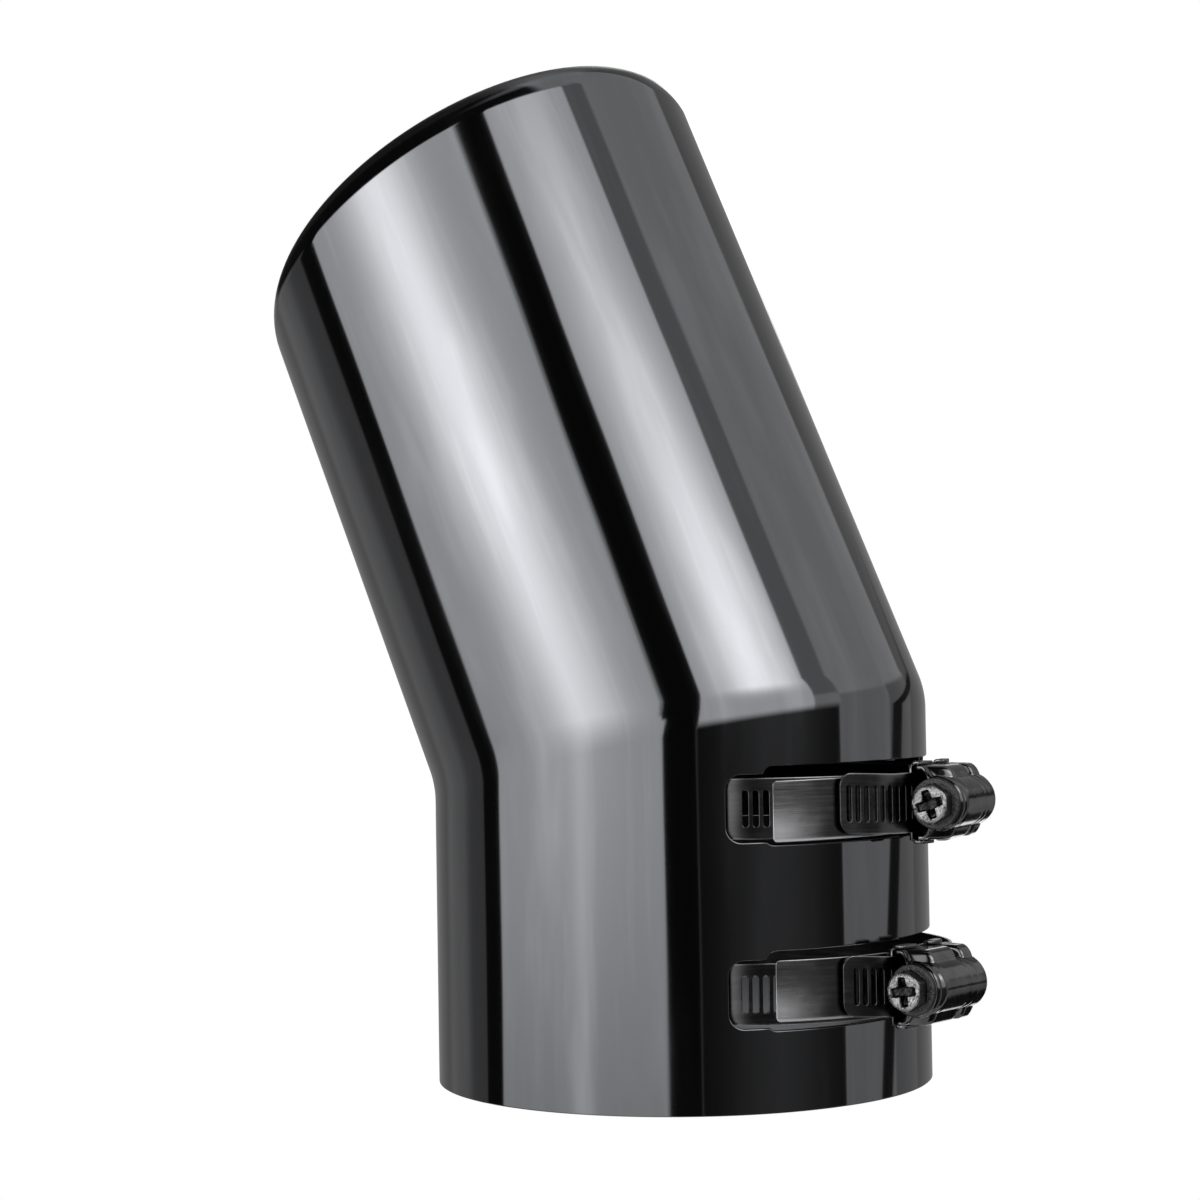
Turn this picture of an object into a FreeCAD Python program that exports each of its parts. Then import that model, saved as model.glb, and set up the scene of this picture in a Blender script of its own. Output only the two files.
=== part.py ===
import os
from math import acos, ceil, cos, degrees, floor, pi, radians, sin, sqrt, tan

import FreeCAD, Part
from FreeCAD import Matrix, Placement, Rotation, Vector

# Angled exhaust tip with two worm-drive band clamps, in millimetres.
# Origin: centre of the inlet rim. +Z runs up the inlet axis, the tube leans
# towards -X after the bend, and the clamp windows face +X.

# Tube
tube_radius = 50.8
tube_wall = 1.0
bend_height = 69.2
bend_deg = 24.0
bend_blend = 16.0
elbow_steps = 2
mouth_length = 125.6
mouth_cut_deg = 10.0
lip_roll = 5.0
lip_return = 3.0
lip_skirt = 6.0
lip_flats = 4

# Windows in the inlet wall, one over the other
window_heights = {"lower": 23.0, "upper": 58.0}
window_height = 15.0
window_half_deg = 38.1
window_corner = 2.0
guide_run_deg = 7.0
guide_corner = 3.0
guide_gap_below = 0.3
guide_gap_above = 0.5
cut_reach = 3.0

# Clamp bands: an inner layer, a plain lap folded back over it, and the tail
ring_proud = 3.5
band_inner = 38.1
band_thick = 0.6
band_width = 12.0
band_drop = 0.6
layer_gap = 0.25
lap_end_deg = -50.4
tail_end_deg = -32.0
tail_corner = 2.5
ramp_start_deg = 75.0
ramp_end_deg = 22.0
fold_deg = 16.0
slot_pitch = 1.97
slot_width = 1.1
slot_length = 7.0
slot_tail_margin = 1.6

# Clamp housings: a hood over the worm and a saddle under the tail
housing_turn_deg = {"lower": -3.1, "upper": 6.7}
sheet = 0.8
seat_gap = 0.05
hood_length = 19.0
hood_side_gap = 0.4
hood_skirt_rise = 1.0
hood_shoulder_deg = 15.0
notch_length = 4.0
notch_depth = 1.0
barrel_gap = 0.25
tab_length = 4.5
tab_height = 2.6
tab_offset = 5.0
saddle_half_deg = 12.0

# Worm screws
worm_crest = 4.5
worm_root = 3.6
worm_bite = 0.45
worm_rings = 1
worm_land = 0.8
worm_end_gap = 0.3
running_gap = 0.05
journal_radius = 3.0
nub_radius = 2.0
nub_length = 0.6
flange_radius = 5.0
flange_thick = 1.0
hex_flats = 7.4
hex_height = 3.2
recess_width = 1.3
recess_reach = 5.4
recess_depth = 2.2

lap_inner = band_inner + band_thick + layer_gap
saddle_inner = lap_inner + band_thick + seat_gap
tail_inner = saddle_inner + sheet + seat_gap
tail_outer = tail_inner + band_thick
worm_height = tail_outer - worm_bite + worm_crest
barrel_inner = worm_crest + barrel_gap
slot_step_deg = degrees(slot_pitch / (tail_inner + band_thick / 2))
bore_radius = tube_radius - tube_wall
ring_offset = tube_radius + ring_proud - band_inner
band_outer = band_inner + band_thick
guide_half_deg = guide_run_deg + degrees(acos(
    (bore_radius ** 2 + ring_offset ** 2 - band_outer ** 2) / (2 * bore_radius * ring_offset)))
ring_centre = Vector(ring_offset, 0, 0)
lean = Placement(Vector(0, 0, bend_height), Rotation(Vector(0, 1, 0), -bend_deg))


def sector(r0, r1, z0, z1, a0, a1, centre=Vector(0, 0, 0)):
    """Part of a ring between two radii, two heights and two angles from +X."""
    corners = [Vector(r0, 0, z0), Vector(r1, 0, z0), Vector(r1, 0, z1), Vector(r0, 0, z1)]
    face = Part.Face(Part.makePolygon(corners + corners[:1]))
    face.rotate(Vector(0, 0, 0), Vector(0, 0, 1), a0)
    solid = face.revolve(Vector(0, 0, 0), Vector(0, 0, 1), a1 - a0)
    solid.translate(centre)
    return solid


def round_radial_edges(solid, radius, centre=Vector(0, 0, 0)):
    """Rounds the straight edges that point away from the axis through centre."""
    chosen = []
    for edge in solid.Edges:
        if not isinstance(edge.Curve, Part.Line):
            continue
        along = edge.Vertexes[-1].Point - edge.Vertexes[0].Point
        middle = edge.CenterOfMass - centre
        middle.z = 0
        if abs(along.z) < 1e-6 and along.cross(middle).Length < 1e-6 * middle.Length:
            chosen.append(edge)
    return solid.makeFillet(radius, chosen)


def keep_below(shape, point, normal):
    """The part of a shape on the side of a plane that its normal points away from."""
    reach = 4 * (bend_height + mouth_length)
    block = Part.makeBox(reach, reach, reach, Vector(-reach / 2, -reach / 2, 0))
    block.Placement = Placement(point, Rotation(Vector(0, 0, 1), normal))
    return shape.cut(block)


def keep_above(shape, point, normal):
    """The part of a shape on the side of a plane that its normal points to."""
    return keep_below(shape, point, normal * -1)


def bent_core(radius):
    """Solids inside one tube radius: two straight runs and a short blended elbow.

    The elbow is the ellipse in which the mitre plane cuts the tube, moved along an
    arc that is tangent to both axes without being turned, in a few straight steps.
    """
    half = radians(bend_deg / 2)
    low_end = Vector(0, 0, bend_height - bend_blend * tan(half))
    mitre_normal = Vector(-sin(half), 0, cos(half))
    in_plane = Vector(cos(half), 0, sin(half))
    ellipse = Part.Ellipse(low_end + in_plane * (radius / cos(half)),
                           low_end + Vector(0, radius, 0), low_end)
    section = Part.Face(Part.Wire(ellipse.toShape()))
    angles = [radians(bend_deg) * i / elbow_steps for i in range(elbow_steps + 1)]
    path = [Vector(bend_blend * (cos(a) - 1), 0, bend_blend * sin(a)) for a in angles]
    elbow = []
    for start, end in zip(path, path[1:]):
        piece = section.extrude(end - start)
        piece.translate(start)
        elbow.append(piece)
    lower = Part.makeCylinder(radius, bend_height + radius)
    lower = keep_below(lower, low_end, mitre_normal)
    upper = Part.makeCylinder(radius, mouth_length + radius, Vector(0, 0, -radius))
    upper.Placement = lean
    upper = keep_above(upper, low_end + path[-1], mitre_normal)
    return [lower] + elbow + [upper]


def mouth_plane(depth):
    """A point and the normal of the plane that far below the lip, as the mouth is cut."""
    cut = radians(mouth_cut_deg)
    point = lean.multVec(Vector(0, 0, mouth_length - depth))
    normal = lean.Rotation.multVec(Vector(-sin(cut), 0, cos(cut)))
    return point, normal


def lip_profile():
    """Section of the lip as (radius, height) points, the height from the mouth's top.

    The outer line follows the half turn in short flats, the inner one in two square
    corners, and the return edge and the skirt's foot close the wall between them.
    """
    middle = tube_radius - lip_roll
    points = [(tube_radius, -lip_roll - lip_skirt)]
    for i in range(lip_flats + 1):
        angle = pi * i / lip_flats
        points.append((middle + lip_roll * cos(angle), lip_roll * sin(angle) - lip_roll))
    back = middle - lip_roll
    points += [(back, -lip_roll - lip_return), (back + tube_wall, -lip_roll - lip_return)]
    lift = (lip_roll - tube_wall) * sin(pi / 4) - lip_roll
    side = (lip_roll - tube_wall) * cos(pi / 4)
    points += [(back + tube_wall, -lip_roll), (middle - side, lift), (middle + side, lift),
               (bore_radius, -lip_roll), (bore_radius, -lip_roll - lip_skirt)]
    return points


def rolled_lip():
    """Lip of the mouth: the wall rolled inwards through half a turn. Each point of the
    section runs round an ellipse that is sheared along the tube's axis, so that the lip
    stays on the round tube and follows the angled cut."""
    rise = tan(radians(mouth_cut_deg))
    loops = []
    for radius, height in lip_profile():
        level = mouth_length + height
        loops.append(Part.Ellipse(Vector(radius, 0, level + radius * rise), Vector(0, radius, level),
                                  Vector(0, 0, level)).toShape())
    faces = [Part.makeRuledSurface(loop, loops[i - 1]) for i, loop in enumerate(loops)]
    shell = Part.makeShell(faces)
    shell.sewShape()
    ring = Part.makeSolid(shell)
    if ring.Volume < 0:
        ring.reverse()
    ring.Placement = lean
    return ring


def band_middle(level):
    """Height of the middle of a clamp band."""
    return window_heights[level] - band_drop


def window_cutter(level):
    """One window with its two narrower guide slots, where the band passes through."""
    r0, r1 = bore_radius - cut_reach, tube_radius + cut_reach
    z0 = window_heights[level] - window_height / 2
    window = sector(r0, r1, z0, z0 + window_height, -window_half_deg, window_half_deg)
    window = round_radial_edges(window, window_corner)
    low = band_middle(level) - band_width / 2 - guide_gap_below
    high = band_middle(level) + band_width / 2 + guide_gap_above
    guide = sector(r0, r1, low, high, -guide_half_deg, guide_half_deg)
    return window.fuse(round_radial_edges(guide, guide_corner))


def tip_shell():
    """The bent tube with its rolled mouth and the two clamp windows."""
    point, normal = mouth_plane(lip_roll + lip_skirt)
    outer = bent_core(tube_radius)
    inner = bent_core(bore_radius)
    runs = [full.cut(hollow) for full, hollow in zip(outer, inner)]
    runs[-1] = keep_below(runs[-1], point, normal)
    shell = runs[0].fuse(runs[1:] + [rolled_lip()])
    for level in window_heights:
        shell = shell.cut(window_cutter(level))
    return shell.removeSplitter()


def polar(radius, angle_deg, z=0.0):
    """A point on a circle about the clamp ring's centre."""
    return ring_centre + Vector(radius * cos(radians(angle_deg)), radius * sin(radians(angle_deg)), z)


def ramp(z0, z1):
    """The stretch of band that climbs from the inner layer to the tail's layer: two arcs
    that meet halfway, each tangent to its own layer. Their centres lie equally far to
    either side of the ring's centre."""
    turn = radians(ramp_start_deg - ramp_end_deg)
    shift = (tail_inner - band_inner) * (2 + sqrt(2 + 2 * cos(turn))) / (2 * (1 - cos(turn)))
    halfway = (ramp_start_deg + ramp_end_deg) / 2
    low = sector(band_inner + shift, band_outer + shift, z0, z1, halfway, ramp_start_deg,
                 polar(-shift, ramp_start_deg))
    high = sector(tail_inner - shift, tail_outer - shift, z0, z1, ramp_end_deg, halfway,
                  polar(shift, ramp_end_deg))
    return low.fuse(high)


def slots(radius, z, middle_deg, first_deg, last_deg):
    """Cutters for the worm slots of the tail, spaced from the middle of the housing."""
    width = slot_step_deg * slot_width / slot_pitch
    through = layer_gap / 2
    first = ceil((first_deg - middle_deg) / slot_step_deg)
    last = floor((last_deg - middle_deg) / slot_step_deg)
    cutters = []
    for i in range(first, last + 1):
        angle = middle_deg + i * slot_step_deg
        cutters.append(sector(radius - through, radius + band_thick + through,
                              z - slot_length / 2, z + slot_length / 2,
                              angle - width / 2, angle + width / 2, ring_centre))
    return cutters


def clamp_band(level):
    """One strip of steel: the lap, its fold, the inner layer all round and the tail."""
    turn = housing_turn_deg[level]
    z0 = band_middle(level) - band_width / 2
    z1 = z0 + band_width
    fold = turn + fold_deg
    fold_width = degrees(band_thick / band_inner)
    inner = sector(band_inner, band_outer, z0, z1,
                   ramp_start_deg - 360, fold, ring_centre)
    bend = sector(band_inner, lap_inner + band_thick, z0, z1, fold - fold_width, fold, ring_centre)
    lap = sector(lap_inner, lap_inner + band_thick, z0, z1, lap_end_deg, fold, ring_centre)
    tail = sector(tail_inner, tail_outer, z0, z1, tail_end_deg, ramp_end_deg, ring_centre)
    corner_edges = [e for e in tail.Edges
                    if isinstance(e.Curve, Part.Line) and abs(e.tangentAt(e.FirstParameter).z) < 1e-6
                    and (e.CenterOfMass - polar(tail_inner, tail_end_deg, z0)).Length < band_width + 1]
    tail = tail.makeFillet(tail_corner, corner_edges)
    margin = degrees(slot_tail_margin / tail_inner)
    cutters = slots(tail_inner, band_middle(level), turn, tail_end_deg + margin,
                    ramp_end_deg - margin)
    tail = tail.cut(cutters)
    return inner.fuse([bend, lap, tail, ramp(z0, z1)]).removeSplitter()


def at_housing(shape, level):
    """Moves a shape drawn with its screw along +X and its ring below to its clamp."""
    turn = Rotation(Vector(0, 0, 1), housing_turn_deg[level] - 90)
    place = Placement(ring_centre + Vector(0, 0, band_middle(level)), turn)
    shape.Placement = place.multiply(shape.Placement)
    return shape


def hood_outline(skirt_half, radius, shoulder_y, x):
    """Section of the hood: skirts beside the band, sloping shoulders and a round barrel."""
    angle = radians(-hood_shoulder_deg)
    foot = band_inner
    side = [Vector(x, foot, skirt_half), Vector(x, shoulder_y, skirt_half),
            Vector(x, worm_height + radius * sin(angle), radius * cos(angle))]
    mirror = [Vector(p.x, p.y, -p.z) for p in side]
    top = Vector(x, worm_height + radius, 0)
    edges = [
        Part.makeLine(side[0], side[1]),
        Part.makeLine(side[1], side[2]),
        Part.Arc(side[2], top, mirror[2]).toShape(),
        Part.makeLine(mirror[2], mirror[1]),
        Part.makeLine(mirror[1], mirror[0]),
        Part.makeLine(mirror[0], side[0]),
    ]
    return Part.Face(Part.Wire(edges))


def clamp_hood(level):
    """Pressed cover round the worm, with a bored wall at each end."""
    half = hood_length / 2
    skirt = band_width / 2 + hood_side_gap + sheet
    shoulder = tail_outer + hood_skirt_rise
    outside = hood_outline(skirt, barrel_inner + sheet, shoulder, -half)
    inside = hood_outline(skirt - sheet, barrel_inner, shoulder - sheet / 2, -half + sheet)
    hood = outside.extrude(Vector(hood_length, 0, 0))
    hood = hood.cut(inside.extrude(Vector(hood_length - 2 * sheet, 0, 0)))
    on_saddle = Part.makeCylinder(tail_inner - seat_gap / 2, 4 * skirt, Vector(0, 0, -2 * skirt))
    band_way = Part.makeCylinder(tail_outer + seat_gap, band_width + 2 * hood_side_gap,
                                 Vector(0, 0, -band_width / 2 - hood_side_gap))
    front_bore = Part.makeCylinder(journal_radius + running_gap, half,
                                   Vector(half / 2, worm_height, 0), Vector(1, 0, 0))
    back_bore = Part.makeCylinder(nub_radius + running_gap, half,
                                  Vector(-half - half / 2, worm_height, 0), Vector(1, 0, 0))
    notch = Part.makeBox(notch_length, notch_depth * 2, 4 * skirt,
                         Vector(-notch_length / 2, shoulder - notch_depth, -2 * skirt))
    inner_way = Part.makeBox(notch_length, notch_depth * 2, 2 * (skirt - sheet),
                             Vector(-notch_length / 2, shoulder - notch_depth, sheet - skirt))
    hood = hood.cut([on_saddle, band_way, front_bore, back_bore, notch.cut(inner_way)])
    return at_housing(hood, level)


def clamp_saddle(level):
    """Curved plate under the tail, with four tabs turned up beside the hood's skirts."""
    skirt = band_width / 2 + hood_side_gap + sheet
    edge = skirt + seat_gap + sheet
    plate = sector(saddle_inner, saddle_inner + sheet, -edge, edge,
                   90 - saddle_half_deg, 90 + saddle_half_deg)
    tabs = []
    for side in (-1, 1):
        for end in (-1, 1):
            z = side * (edge - sheet / 2) - sheet / 2
            tabs.append(Part.makeBox(tab_length, saddle_inner + tab_height - band_inner, sheet,
                                     Vector(end * tab_offset - tab_length / 2, band_inner, z)))
    under = Part.makeCylinder(saddle_inner, 4 * edge, Vector(0, 0, -2 * edge))
    saddle = plate.fuse([tab.cut(under) for tab in tabs]).removeSplitter()
    return at_housing(saddle, level)


def worm_screw(level):
    """Ringed worm in the band's slots, two journals, a flanged hex head with a cross."""
    start = -hood_length / 2 + sheet + worm_end_gap
    front = hood_length / 2 - sheet - worm_end_gap
    flange_x = hood_length / 2 + seat_gap
    nub_x = start - nub_length - worm_end_gap
    profile = [Vector(nub_x, 0, 0), Vector(nub_x, nub_radius, 0),
               Vector(start, nub_radius, 0), Vector(start, worm_root, 0)]
    for i in range(worm_rings):
        angle = radians((i - (worm_rings - 1) / 2) * slot_step_deg)
        x = tail_outer * sin(angle)
        profile += [Vector(x - worm_land / 2, worm_root, 0), Vector(x - worm_land / 2, worm_crest, 0),
                    Vector(x + worm_land / 2, worm_crest, 0), Vector(x + worm_land / 2, worm_root, 0)]
    profile += [Vector(front, worm_root, 0), Vector(front, journal_radius, 0),
                Vector(flange_x, journal_radius, 0), Vector(flange_x, flange_radius, 0),
                Vector(flange_x + flange_thick, flange_radius, 0),
                Vector(flange_x + flange_thick, 0, 0)]
    body = Part.Face(Part.makePolygon(profile + profile[:1]))
    body = body.revolve(Vector(0, 0, 0), Vector(1, 0, 0), 360)
    corner = hex_flats / sqrt(3)
    hexagon = [Vector(flange_x + flange_thick, corner * cos(i * pi / 3), corner * sin(i * pi / 3))
               for i in range(6)]
    head = Part.Face(Part.makePolygon(hexagon + hexagon[:1])).extrude(Vector(hex_height, 0, 0))
    face_x = flange_x + flange_thick + hex_height
    for size in ((recess_width, recess_reach), (recess_reach, recess_width)):
        head = head.cut(Part.makeBox(2 * recess_depth, size[0], size[1],
                                     Vector(face_x - recess_depth, -size[0] / 2, -size[1] / 2)))
    screw = body.fuse(head).removeSplitter()
    screw.translate(Vector(0, worm_height, 0))
    return at_housing(screw, level)


def main():
    os.makedirs("parts", exist_ok=True)
    made = {"tip_shell": tip_shell()}
    for level in window_heights:
        made[level + "_clamp_band"] = clamp_band(level)
        made[level + "_clamp_hood"] = clamp_hood(level)
        made[level + "_clamp_saddle"] = clamp_saddle(level)
        made[level + "_worm_screw"] = worm_screw(level)
    for name, shape in made.items():
        shape.exportStep("parts/" + name + ".step")
        print(name, shape.ShapeType, "solids", len(shape.Solids), "valid", shape.isValid(),
              "volume", round(shape.Volume, 1), "box", shape.BoundBox)


main()
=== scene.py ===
"""Angled black chrome exhaust tip with two worm-drive band clamps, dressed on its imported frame."""
import math

import bpy
import numpy as np
from bpy.props import FloatProperty, FloatVectorProperty, IntProperty, PointerProperty
from mathutils import Matrix
from mathutils.geometry import delaunay_2d_cdt


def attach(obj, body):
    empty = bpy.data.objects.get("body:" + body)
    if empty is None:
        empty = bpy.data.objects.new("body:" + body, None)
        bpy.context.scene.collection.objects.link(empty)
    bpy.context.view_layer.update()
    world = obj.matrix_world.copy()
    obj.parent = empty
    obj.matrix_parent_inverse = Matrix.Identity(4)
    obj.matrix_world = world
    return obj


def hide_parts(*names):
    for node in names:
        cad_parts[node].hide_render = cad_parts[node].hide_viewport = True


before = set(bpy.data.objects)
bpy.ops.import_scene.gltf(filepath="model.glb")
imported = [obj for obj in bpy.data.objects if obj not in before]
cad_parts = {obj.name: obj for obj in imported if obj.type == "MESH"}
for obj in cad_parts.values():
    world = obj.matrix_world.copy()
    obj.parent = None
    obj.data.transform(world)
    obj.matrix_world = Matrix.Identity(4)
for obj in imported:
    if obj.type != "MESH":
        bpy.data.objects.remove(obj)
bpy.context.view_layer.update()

bl_info = {
    "name": "Exhaust tip",
    "version": (1, 0, 0),
    "blender": (4, 5, 0),
    "location": "3D View > Sidebar > Exhaust tip",
    "description": "Builds an angled exhaust tip with its band clamps and studio",
    "category": "Object",
}

MM = 0.001
LEVELS = ("lower", "upper")

# Places that tube, strip and housing share: heights and radii in millimetres, angles in degrees
# round the clamp's ring from +X
WINDOW_Z = {"lower": 23.0, "upper": 58.0}
HOUSING_TURN = {"lower": -3.1, "upper": 6.7}
WORM_AXIS = 45.1
LAP_START, FOLD_PAST_HOUSING = -50.4, 16.0
CLIMB_START, CLIMB_MIDDLE, CLIMB_END, TAIL_END = -285, -311.5, -338, -392

# Thickness of the pressed hoods and saddles, in millimetres
SHEET = 0.8

# How far each screw's cross is turned, in radians
CROSS_TURN = {"lower": 0.12, "upper": 0.30}

# Camera that fits the object's outline: place in metres, swing and then yaw, pitch and roll in
# degrees, lens in millimetres
CAMERA_AT, CAMERA_SWING = (0.30068, -0.44746, 0.0845), 33.9
CAMERA_AIM, CAMERA_LENS = (-1.71, -1.50, -0.916), 77.73


# Properties

class TubeSizes(bpy.types.PropertyGroup):
    """Sizes of the tube, in metres."""
    radius: FloatProperty(name="Radius", description="Outer radius of the tube", default=0.0508,
                          unit="LENGTH")
    wall: FloatProperty(name="Wall", description="Thickness of the tube's wall", default=0.001,
                        unit="LENGTH")
    bend_height: FloatProperty(name="Bend height", description="Height at which the two axes meet",
                               default=0.0692, unit="LENGTH")
    bend: FloatProperty(name="Bend", description="Angle between the two runs", default=math.radians(24),
                        subtype="ANGLE")
    blend: FloatProperty(name="Bend blend", description="Radius of the arc that the elbow follows",
                         default=0.016, unit="LENGTH")
    mouth: FloatProperty(name="Mouth", description="Length of the upper run to the middle of its mouth",
                         default=0.1256, unit="LENGTH")
    cut: FloatProperty(name="Mouth cut", description="Slant of the mouth", default=math.radians(10),
                       subtype="ANGLE")
    roll: FloatProperty(name="Lip roll", description="Radius of the rolled lip", default=0.005,
                        unit="LENGTH")
    reach: FloatProperty(name="Lip reach", description="Length over which the lip starts to roll in",
                         default=0.007, unit="LENGTH")
    back: FloatProperty(name="Lip return", description="Straight end of the lip inside the mouth",
                        default=0.003, unit="LENGTH")
    columns: IntProperty(name="Columns", description="Points round the tube", default=144, min=48)


class ClampSizes(bpy.types.PropertyGroup):
    """Sizes of a band clamp, in metres."""
    ring_offset: FloatProperty(name="Ring offset", description="Distance of the ring's axis from the tube's",
                               default=0.0162, unit="LENGTH")
    band_inner: FloatProperty(name="Band radius", description="Inner radius of the band's inner layer",
                              default=0.0381, unit="LENGTH")
    band_thick: FloatProperty(name="Band thickness", description="Thickness of the strip", default=0.0006,
                              unit="LENGTH")
    band_width: FloatProperty(name="Band width", description="Width of the strip", default=0.0116,
                              unit="LENGTH")
    band_drop: FloatProperty(name="Band drop", description="How far the band lies under its window's middle",
                             default=0.0006, unit="LENGTH")
    pitch: FloatProperty(name="Slot pitch", description="Distance between worm slots", default=0.00197,
                         unit="LENGTH")
    slot_width: FloatProperty(name="Slot width", description="Width of a worm slot", default=0.0011,
                              unit="LENGTH")
    slot_length: FloatProperty(name="Slot length", description="Length of a worm slot", default=0.007,
                               unit="LENGTH")


class Finish(bpy.types.PropertyGroup):
    """Colours of the plated metals."""
    tube: FloatVectorProperty(name="Tube", description="Reflectance of the tube's black chrome",
                              default=(0.118, 0.12, 0.126), subtype="COLOR")
    strip: FloatVectorProperty(name="Clamp strip", description="Reflectance of the clamps' black plating",
                               default=(0.075, 0.075, 0.077), subtype="COLOR")
    screw: FloatVectorProperty(name="Screw", description="Reflectance of the screws' dark plating",
                               default=(0.30, 0.30, 0.305), subtype="COLOR")


# Surfaces from numpy

def grid_quads(rows, columns, wrap=False):
    """Quads of a grid of points, each row joined to the next; with wrap the last column meets
    the first."""
    i = np.arange(rows - 1)[:, None]
    j = np.arange(columns if wrap else columns - 1)[None, :]
    k = (j + 1) % columns
    corners = [i * columns + j, i * columns + k, (i + 1) * columns + k, (i + 1) * columns + j]
    return np.stack(corners, -1).reshape(-1, 4)


def patch(points, normals, flow=None, wrap=False):
    """A grid of points with its normals as one patch of quads."""
    flow = points if flow is None else flow
    quads = grid_quads(*points.shape[:2], wrap)
    return points.reshape(-1, 3), normals.reshape(-1, 3), flow.reshape(-1, 3), quads


def weld(name, patches, step=1e-4):
    """One mesh object from patches in millimetres. Points that fall on one cell of the step
    are joined, the faces of each patch are turned so that most agree with their points'
    normals, and the given normals are kept for the shading."""
    points = np.concatenate([p[0] for p in patches])
    normals = np.concatenate([p[1] for p in patches])
    flow = np.concatenate([p[2] for p in patches])
    normals /= np.linalg.norm(normals, axis=1, keepdims=True)
    starts = np.cumsum([0] + [len(p[0]) for p in patches[:-1]])
    faces = np.concatenate([np.pad(p[3] + start, ((0, 0), (0, 4 - p[3].shape[1])), constant_values=-1)
                            for p, start in zip(patches, starts)])
    last = np.where(faces[:, 3] >= 0, faces[:, 3], faces[:, 2])
    turn = np.cross(points[faces[:, 2]] - points[faces[:, 0]], points[last] - points[faces[:, 1]])
    inward = (turn * (normals[faces[:, :3]].sum(1) + normals[last])).sum(1) < 0
    parts = np.repeat(np.arange(len(patches)), [len(p[3]) for p in patches])
    inward = (np.bincount(parts, inward) / np.bincount(parts) > 0.5)[parts]
    faces[inward] = np.where(faces[inward][:, 3:] >= 0, faces[inward][:, [3, 2, 1, 0]],
                             faces[inward][:, [2, 1, 0, 3]])
    _, first, inverse = np.unique(np.round(points / step).astype(np.int64), axis=0,
                                  return_index=True, return_inverse=True)
    inverse = inverse.ravel()
    faces = np.where(faces >= 0, inverse[faces], -1)
    points, normals, flow = points[first], normals[first], flow[first]
    # a quad with two equal neighbours is a triangle
    for k in range(4):
        same = (faces[:, k] == faces[:, (k + 1) % 4]) & (faces[:, 3] >= 0)
        faces[same] = np.stack([faces[same][:, (k + 1) % 4], faces[same][:, (k + 2) % 4],
                                faces[same][:, (k + 3) % 4], np.full(same.sum(), -1)], -1)
    tri = faces[:, :3]
    good = (tri[:, 0] != tri[:, 1]) & (tri[:, 1] != tri[:, 2]) & (tri[:, 0] != tri[:, 2])
    faces = faces[good]
    used = np.unique(faces[faces >= 0])
    renumber = np.full(len(points), -1)
    renumber[used] = np.arange(len(used))
    rows = [row[row >= 0].tolist() for row in np.where(faces >= 0, renumber[faces], -1)]
    mesh = bpy.data.meshes.new(name)
    mesh.from_pydata((points[used] * MM).tolist(), [], rows)
    mesh.update()
    mesh.polygons.foreach_set("use_smooth", np.ones(len(mesh.polygons), bool))
    layer = mesh.attributes.new("flow", "FLOAT_VECTOR", "POINT")
    layer.data.foreach_set("vector", (flow[used] * MM).astype(np.float32).ravel())
    mesh.normals_split_custom_set_from_vertices(normals[used].tolist())
    piece = bpy.data.objects.new(name, mesh)
    bpy.context.scene.collection.objects.link(piece)
    return piece


def inside(points, loop):
    """Which points lie in a closed outline: a ray to the right crosses it an odd number of times."""
    x, y = points[:, 0:1], points[:, 1:2]
    a, b = loop, np.roll(loop, -1, axis=0)
    spans = (a[None, :, 1] > y) != (b[None, :, 1] > y)
    rise = np.where(np.abs(b[:, 1] - a[:, 1]) < 1e-12, 1e-12, b[:, 1] - a[:, 1])
    cross = a[None, :, 0] + (y - a[None, :, 1]) * ((b[:, 0] - a[:, 0]) / rise)[None, :]
    return (spans & (x < cross)).sum(1) % 2 == 1


def clear_of(points, loops, gap):
    """The points that keep a gap from every point of the outlines."""
    edge = np.concatenate(loops)
    near = np.sqrt(((points[:, None, :] - edge[None, :, :]) ** 2).sum(-1)).min(1)
    return points[near > gap]


def fill(outline, holes, free):
    """Triangles between a flat outline and its holes, by a Delaunay triangulation that keeps
    every outline edge. Returns the points and the triangles."""
    loops = [outline] + holes
    points = np.concatenate(loops + [free])
    edges, start = [], 0
    for loop in loops:
        k = np.arange(len(loop))
        edges += np.stack([start + k, start + (k + 1) % len(loop)], 1).tolist()
        start += len(loop)
    result = delaunay_2d_cdt(points.tolist(), edges, [], 0, 1e-7)
    source = np.array([o[0] for o in result[3]])
    faces = source[np.array([list(f) for f in result[2]])]
    middle = points[faces].mean(1)
    keep = inside(middle, outline)
    for hole in holes:
        keep &= ~inside(middle, hole)
    return points, faces[keep]


def arc(centre, radius, start, end, count):
    """Points and outward normals of a flat arc: centre + radius (cos a, sin a)."""
    a = np.radians(np.linspace(start, end, count))
    n = np.stack([np.cos(a), np.sin(a)], -1)
    return np.asarray(centre) + radius * n, n


def line(start, end, normal, count):
    """Inner points of a flat line with one normal, its two ends left out."""
    t = (np.arange(1, count) / count)[:, None]
    p = np.asarray(start) * (1 - t) + np.asarray(end) * t
    return p, np.repeat(np.asarray(normal, float)[None, :], len(p), 0)


# Tube

# Radius of the rounded rims of the inlet and the windows, in millimetres
RIM = 0.25


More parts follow.
